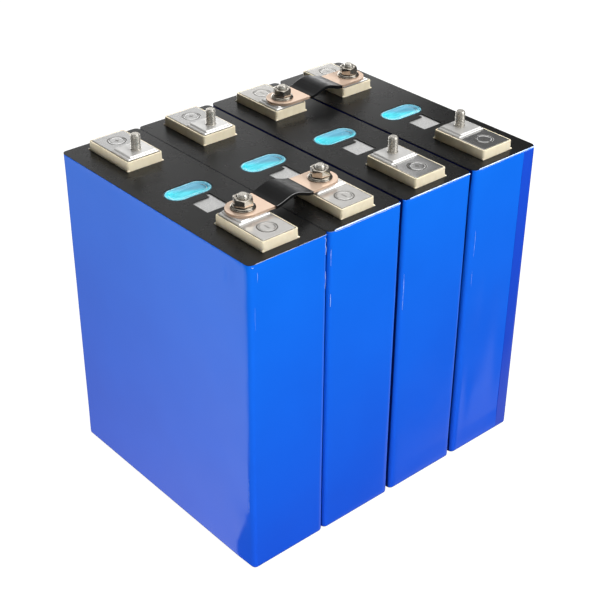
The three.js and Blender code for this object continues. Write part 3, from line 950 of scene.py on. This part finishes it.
def make_pad(number, end):
    """The stud's pad on its wider foot."""
    skins = Skins()
    seam = FOOT_TOP - SEAM_SINK
    bevelled_slab(skins, FOOT_WIDTH, FOOT_LENGTH, PAD_BASE - WELD_SINK, seam)
    bevelled_slab(skins, PAD_WIDTH, FOOT_LENGTH - 1.3, seam, PAD_TOP)
    terminal_piece(skins, number, end, "pad", NICKEL, "terminal_aluminium", "stud_pad")


THREAD_AROUND = 24
THREAD_ALONG = 8


def thread_rise(phase):
    """Share of the thread's depth at a phase of its pitch: a V with a flat crest and root."""
    return np.clip(1.75 - abs(phase % 1 - 0.5) * 4.6, 0, 1) * 0.9 + 0.1


def make_stud(number, end):
    """A stud with a helical thread above its plain neck."""
    base, tip = PAD_TOP - 0.2, STUD_TIP
    neck = PAD_TOP + 0.5
    turns = (tip - neck) / THREAD_PITCH
    count = int(turns * THREAD_ALONG) + THREAD_ALONG + 1
    angles = np.arange(THREAD_AROUND) * 2 * math.pi / THREAD_AROUND
    skew = angles / (2 * math.pi) * THREAD_PITCH

    def ring(radius, height):
        return np.stack([radius * np.cos(angles), radius * np.sin(angles) + STUD_INWARD, height], 1)

    flat = np.ones(THREAD_AROUND)
    neck_profile = [(3.3, base), (3.3, PAD_TOP + 0.12), (2.75, PAD_TOP + 0.4)]
    rings = [ring(radius * flat, height * flat) for radius, height in neck_profile]
    root = STUD_RADIUS - THREAD_DEPTH
    for step in range(count):
        height = neck - THREAD_PITCH + step * THREAD_PITCH / THREAD_ALONG + skew
        height = np.clip(height, neck, tip)
        phase = (height - skew) / THREAD_PITCH
        radius = root + THREAD_DEPTH * thread_rise(phase)
        radius = np.minimum(radius, STUD_RADIUS - 0.75 + (tip - height) * 0.9)
        rings.append(ring(radius, height))
    rings.append(ring((STUD_RADIUS - 1.6) * flat, tip * flat))
    terminal_piece(Skins().loft(rings), number, end, "stud", STUD_STEEL, "stud_steel", sharp=40)


# ---- busbars and fasteners


def arch_rise(x):
    """Height of the busbar's arch over its ends, along the busbar."""
    inside = np.abs(x) < ARCH_HALF_LENGTH
    return np.where(inside, ARCH_HEIGHT / 2 * (1 + np.cos(np.pi * x / ARCH_HALF_LENGTH)), 0)


LEAVES = 5
LEAF_GAP = 0.15
BOLT_HOLE_RADIUS = 3.4
ARCH_CUTS = 30


def make_busbar(end):
    """Loose copper leaves, each cut flat with its bolt holes and then bent over the arch."""
    node = f"{end}_busbar"
    centre, length, width = plan_mm(node)
    half_spacing = (length - width) / 2
    rings = [outline(length, width, width / 2 - 0.01, (1, 1), 20)]
    for side in (-1, 1):
        rings.append(circle(BOLT_HOLE_RADIUS, 32, (side * half_spacing, 0)))
    thickness = (BUSBAR_THICKNESS - LEAF_GAP * (LEAVES - 1)) / LEAVES
    skins = Skins()
    draw = np.random.default_rng(7)
    for leaf in range(LEAVES):
        base = BUSBAR_BASE + leaf * (thickness + LEAF_GAP)
        points, faces = sheet_mesh(rings, base, base + thickness, 0.05)
        shape = bmesh.new()
        for point in points:
            shape.verts.new(point)
        shape.verts.ensure_lookup_table()
        for face in faces:
            shape.faces.new([shape.verts[i] for i in face])
        for x in np.linspace(-ARCH_HALF_LENGTH, ARCH_HALF_LENGTH, ARCH_CUTS + 1):
            whole = shape.verts[:] + shape.edges[:] + shape.faces[:]
            bmesh.ops.bisect_plane(shape, geom=whole, plane_co=(x, 0, 0), plane_no=(1, 0, 0), dist=1e-4)
        shape.verts.index_update()
        bent = np.array([v.co for v in shape.verts])
        bent[:, 2] += arch_rise(bent[:, 0])
        slip = draw.uniform(-0.05, 0.05)
        bent[:, 0] += slip * (1 - np.abs(bent[:, 0]) / length)
        skins.add_mesh(bent, [[v.index for v in face.verts] for face in shape.faces])
        shape.free()
    skins.piece(f"{end}_copper_leaves", "block", COPPER, "copper", [node], centre)


SLEEVE_THICKNESS = 2.0  # over the copper and both walls
SLEEVE_WALL = 0.24
SLEEVE_CORNER = 0.3


def make_sleeve(end):
    """Heat-shrink sleeve over the arch, wavy along its length."""
    node = f"{end}_busbar_sleeve"
    centre, _, width = plan_mm(node)
    middle = BUSBAR_BASE + BUSBAR_THICKNESS / 2
    counts = matching_counts(SLEEVE_THICKNESS, width, SLEEVE_CORNER, 1.6)

    def ring(x, shrink):
        radius = max(SLEEVE_CORNER - shrink, 0.08)
        flat = outline(SLEEVE_THICKNESS - 2 * shrink, width - 2 * shrink, radius, counts)
        slope = (arch_rise(x + 0.05) - arch_rise(x - 0.05)) / 0.1
        lean = -flat[:, 0] * math.sin(math.atan(slope))
        rise = flat[:, 0] * math.cos(math.atan(slope))
        return np.stack([x + lean, flat[:, 1], middle + arch_rise(x) + rise], 1)

    end_x = SLEEVE_HALF_LENGTH
    stations = np.linspace(-end_x + 0.5, end_x - 0.5, 34)
    outer = [ring(-end_x, 0.22), ring(-end_x + 0.15, 0.06)]
    for x in stations:
        outer.append(ring(x, 0.03 + 0.03 * math.sin(x * 1.7) * math.sin(x * 0.6 + 1)))
    outer += [ring(end_x - 0.15, 0.06), ring(end_x, 0.22)]
    inner = [ring(x, SLEEVE_WALL) for x in np.linspace(end_x, -end_x, 24)]
    Skins().loft(outer + inner, endless=True).piece(
        f"{end}_shrink_sleeve", "block", SLEEVE, "black_sleeve", [node], centre, sharp=50
    )


def make_sleeve_edge(end):
    """Pressed edge of the sleeve, a thin rib along its outer side, pale grey as a painted highlight."""
    centre, _, width = plan_mm(f"{end}_busbar_sleeve")
    top = BUSBAR_BASE + BUSBAR_THICKNESS + 0.13
    rings = []
    for x in np.linspace(-SLEEVE_HALF_LENGTH + 0.3, SLEEVE_HALF_LENGTH - 0.3, 40):
        share = 0.5 + 0.5 * min(1, (SLEEVE_HALF_LENGTH - abs(x)) / 2)
        rib = circle(0.17 * share, 8)
        height = top + float(arch_rise(x))
        rings.append([(x, 0.2 - width / 2 + across, height + up) for across, up in rib])
    skins = Skins().loft(rings)
    skins.piece(f"{end}_sleeve_edge_highlight", "block", SLEEVE_EDGE, "black_sleeve", (), centre, ENDS[end])


AROUND = 72


def fastener_piece(skins, number, end, kind, name, sharp):
    """Makes a nut or a washer, each of which rides a body of its own."""
    node = f"cell_{number}_{end}_{kind}"
    body = f"{kind}_{number}_{end}"
    centre = plan_mm(node)[0]
    skins.piece(f"cell_{number}_{end}_{name}", body, NUT_STEEL, "nut_steel", [node], centre, sharp=sharp)


WASHER_BORE = 3.2


def make_washer(number, end):
    """The nut's captive washer: a flange with a rounded edge, and a collar on it."""
    low, high = box_mm(f"cell_{number}_{end}_washer")
    radius = (high - low)[0] / 2
    flange = [(0.25, 0.0), (0.05, 0.12), (0, 0.3), (0.05, 0.5), (0.3, 0.68), (0.75, 0.74), (0.85, 0.82)]
    collar = [(0.7, 0.9), (0.45, 0.98), (0.4, 1.12), (0.55, 1.3), (1.0, 1.52), (1.5, 1.6)]
    profile = [(WASHER_BORE, 0.1), (WASHER_BORE + 0.15, 0.0)]
    profile += [(radius - inset, rise) for inset, rise in flange + collar]
    profile += [(WASHER_BORE + 0.3, 1.6), (WASHER_BORE, 1.45)]
    rings = [at(circle(r, AROUND), low[2] + z) for r, z in profile]
    fastener_piece(Skins().loft(rings, endless=True), number, end, "washer", "captive_washer", 50)


ACROSS_FLATS = 10.0
NUT_BORE = 3.01
HEX_ROUNDING = 0.22


def hexagon(across, rounding):
    """Points round a hexagon with slightly round corners, its corners towards +X and -X."""
    points = []
    inner = (across / 2 - rounding) / math.cos(math.pi / 6)
    for middle in range(0, 360, 60):
        hub, next_hub = inner * facing(middle), inner * facing(middle + 60)
        for turn in np.linspace(-30, 30, 5):
            points.append(hub + rounding * facing(middle + turn))
        for share in np.arange(1, 10) / 10:
            points.append(hub + (next_hub - hub) * share + rounding * facing(middle + 30))
    return np.array(points)


def make_nut(number, end):
    """A hexagon nut, chamfered at both ends, with a plain bore."""
    low, high = box_mm(f"cell_{number}_{end}_nut")
    base, top = low[2], high[2]
    flat = hexagon(ACROSS_FLATS, HEX_ROUNDING)
    corner = np.linalg.norm(flat, axis=1)
    facet = ACROSS_FLATS / 2 - 0.12
    drop = (corner - facet) * math.tan(math.radians(30))

    def hexed(height):
        return np.column_stack([flat, height])

    def rounded(radius, height):
        return at(facing_circle(flat, radius, (0, 0)), height)

    above = [(facet - 0.05, top - 0.02), (facet - 0.25, top), (NUT_BORE + 0.55, top)]
    bore = [(NUT_BORE + 0.42, top - 0.06), (NUT_BORE, top - 0.5), (NUT_BORE, base + 0.35)]
    below = [(NUT_BORE + 0.35, base), (facet - 0.1, base)]
    rings = [hexed(base + 0.05 + drop * 0.6), hexed(top - 0.05 - drop)]
    rings += [rounded(radius, height) for radius, height in above + bore + below]
    fastener_piece(Skins().loft(rings, endless=True), number, end, "nut", "hex_nut", 25)


# ---- the block


def give_material(node, surface):
    """Puts a material in the slots of a CAD node that is shown as it is."""
    for material_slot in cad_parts[node].material_slots:
        material_slot.material = surface


for cell in CELLS:
    make_jacket(cell)
    make_top_sheet(cell)
    make_lip(cell)
    make_creases(cell)
    make_vent(cell)
    give_material(f"cell_{cell}_can", CASE)
    give_material(f"cell_{cell}_lid", CASE)
    give_material(f"cell_{cell}_electrode_core", FOIL)
    for terminal_end in ENDS:
        make_tray(cell, terminal_end)
        make_plate(cell, terminal_end)
        make_mark(cell, terminal_end)
        make_pad(cell, terminal_end)
        make_stud(cell, terminal_end)

make_shade_strip(4)

for link_end, cells in LINKS.items():
    make_busbar(link_end)
    make_sleeve(link_end)
    make_sleeve_edge(link_end)
    for cell in cells:
        make_washer(cell, link_end)
        make_nut(cell, link_end)

# ---- floor and light


def make_floor():
    """White paper that glows, so that no shadow shows on it. It lights nothing and isn't reflected."""
    mesh = bpy.data.meshes.new("floor")
    half = 6.0
    corners = [(x * half, y * half, -0.0001) for x, y in ((-1, -1), (1, -1), (1, 1), (-1, 1))]
    mesh.from_pydata(corners, [], [(0, 1, 2, 3)])
    floor = bpy.data.objects.new("floor", mesh)
    bpy.context.scene.collection.objects.link(floor)
    s = Surface("floor_paper", (0.1, 0.1, 0.1), 0.9)
    s.colour(s.mix(s.noise(400, 2), (0.09, 0.09, 0.09), (0.11, 0.11, 0.11)))
    s.shader.inputs["Specular IOR Level"].default_value = 0.0
    s.shader.inputs["Emission Color"].default_value = (1, 1, 1, 1)
    s.shader.inputs["Emission Strength"].default_value = 1.0
    mesh.materials.append(s.material)
    floor.visible_glossy = False
    floor.visible_diffuse = False
    floor.visible_shadow = False


def aimed(azimuth, elevation):
    """The direction at an angle from +X towards +Y, and an angle above the horizon, in degrees."""
    a, e = math.radians(azimuth), math.radians(elevation)
    return Vector((math.cos(a) * math.cos(e), math.sin(a) * math.cos(e), math.sin(e)))


def make_area_light(name, towards, distance, size, power, aim=(0, 0, 0.12), mirrored=False):
    """A soft box at a distance in a direction from the block, facing it.

    It gives diffuse light and isn't seen in reflections, or with mirrored the other way about."""
    data = bpy.data.lights.new(name, "AREA")
    data.shape = "RECTANGLE"
    data.size, data.size_y = size
    data.energy = power
    light = bpy.data.objects.new(name, data)
    light.location = Vector(aim) + towards * distance
    light.rotation_mode = "QUATERNION"
    light.rotation_quaternion = towards.to_track_quat("Z", "Y")
    light.visible_glossy = mirrored
    light.visible_diffuse = not mirrored
    light.visible_camera = False
    bpy.context.scene.collection.objects.link(light)


def make_world(panels, below, above):
    """Studio surroundings, seen only in reflections: almost dark, with soft bright panels.

    Each panel is a direction, the angles from it at which the glow ends and is full, and its strength.
    A panel of less than no strength takes light out of one that it overlaps."""
    world = bpy.data.worlds.new("studio")
    bpy.context.scene.world = world
    world.use_nodes = True
    n = Nodes(world.node_tree, "Generated")
    total = n.spread(n.axis("Z"), -0.25, 0.35, below, above, "SMOOTHSTEP")
    for towards, outer, inner, strength in panels:
        dot = n.node("ShaderNodeVectorMath", operation="DOT_PRODUCT")
        dot.inputs[1].default_value = towards
        n.link(n.place, dot.inputs[0])
        limits = math.cos(math.radians(outer)), math.cos(math.radians(inner))
        glow = n.spread(dot.outputs["Value"], *limits, 0, strength, "SMOOTHSTEP")
        total = n.maths("ADD", total, glow)
    background = n.tree.nodes["Background"]
    n.link(n.maths("MAXIMUM", total, 0.01), background.inputs["Color"])
    background.inputs["Strength"].default_value = 1.0
    world.cycles_visibility.diffuse = False


make_floor()
make_world(
    panels=[
        (aimed(100, -30.3), 26.5, 25.9, 0.96),
        (aimed(107, -32), 20, 6, -0.56),
        (aimed(80, -62), 22, 16, -1.0),
        (aimed(146, -34), 6, 4, 1.8),
        (aimed(-22, -45), 16.8, 15.6, 0.42),
        (aimed(-52, 41), 24, 12, 2.8),
        (aimed(54, 28), 12, 7, 0.78),
        (aimed(40, 72), 34, 22, 1.3),
        (aimed(212, 28), 20, 10, 0.7),
        (aimed(122, 25), 26, 14, 0.4),
    ],
    below=0.03,
    above=0.06,
)
make_area_light("key", aimed(-63, 37), 1.5, (0.9, 0.9), 29.5)
make_area_light("overhead", aimed(20, 60), 1.3, (0.8, 0.8), 16)
make_area_light("side", aimed(191, -5), 1.4, (0.8, 0.5), 12.6)
make_area_light("fill", aimed(228, -4), 1.4, (0.5, 0.5), 6.5)
make_area_light("rear", aimed(95, -3), 1.5, (0.8, 0.5), 7.0)
make_area_light("backdrop", aimed(68, 5), 0.44, (0.56, 0.26), 1.15, (0, 0, 0.16), mirrored=True)

scene = bpy.context.scene
scene.view_settings.view_transform = "Standard"
scene.view_settings.look = "None"
